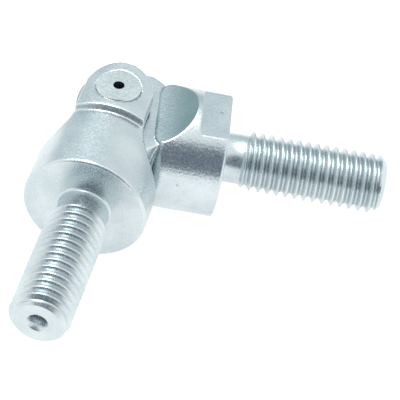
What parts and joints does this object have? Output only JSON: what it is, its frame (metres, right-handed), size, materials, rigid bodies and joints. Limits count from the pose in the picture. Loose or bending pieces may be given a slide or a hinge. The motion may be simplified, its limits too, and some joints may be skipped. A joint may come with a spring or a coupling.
{
  "type": "pin-jointed double-stud rod end",
  "caption": "Fork and tongue, each on a threaded stud, joined by a cross pin through a ball, so the two studs swing and tilt a little.",
  "frame": {"origin": "centre of the fork's seating face, where its threaded stud begins", "axes": "+Z along the hinge pin; -Y along the fork's stud; the tongue's stud points mostly along +X in the rest pose"},
  "size_m": [0.0449, 0.0463, 0.0186],
  "materials": {
    "zinc_plate": "bright zinc plate with a bluish clear passivation over machined and milled steel",
    "pin_steel": "turned steel pin with a satin end face",
    "bearing_steel": "ground bearing steel"
  },
  "bodies": {
    "fork": {"fork_end": "zinc_plate", "hinge_pin": "pin_steel"},
    "ball": {"bearing_ball": "bearing_steel"},
    "tongue": {"tongue_end": "zinc_plate"}
  },
  "joints": [
    {"name": "swing", "type": "hinge", "parent": "fork", "child": "ball", "pos_m": [0, 0.0145, 0], "axis": [0, 0, 1], "range_deg": [-2, 162]},
    {"name": "tilt", "type": "hinge", "parent": "ball", "child": "tongue", "pos_m": [0, 0.0145, 0], "axis": [-0.1685, 0.9857, 0], "range_deg": [-8.8, 0.4]}
  ]
}
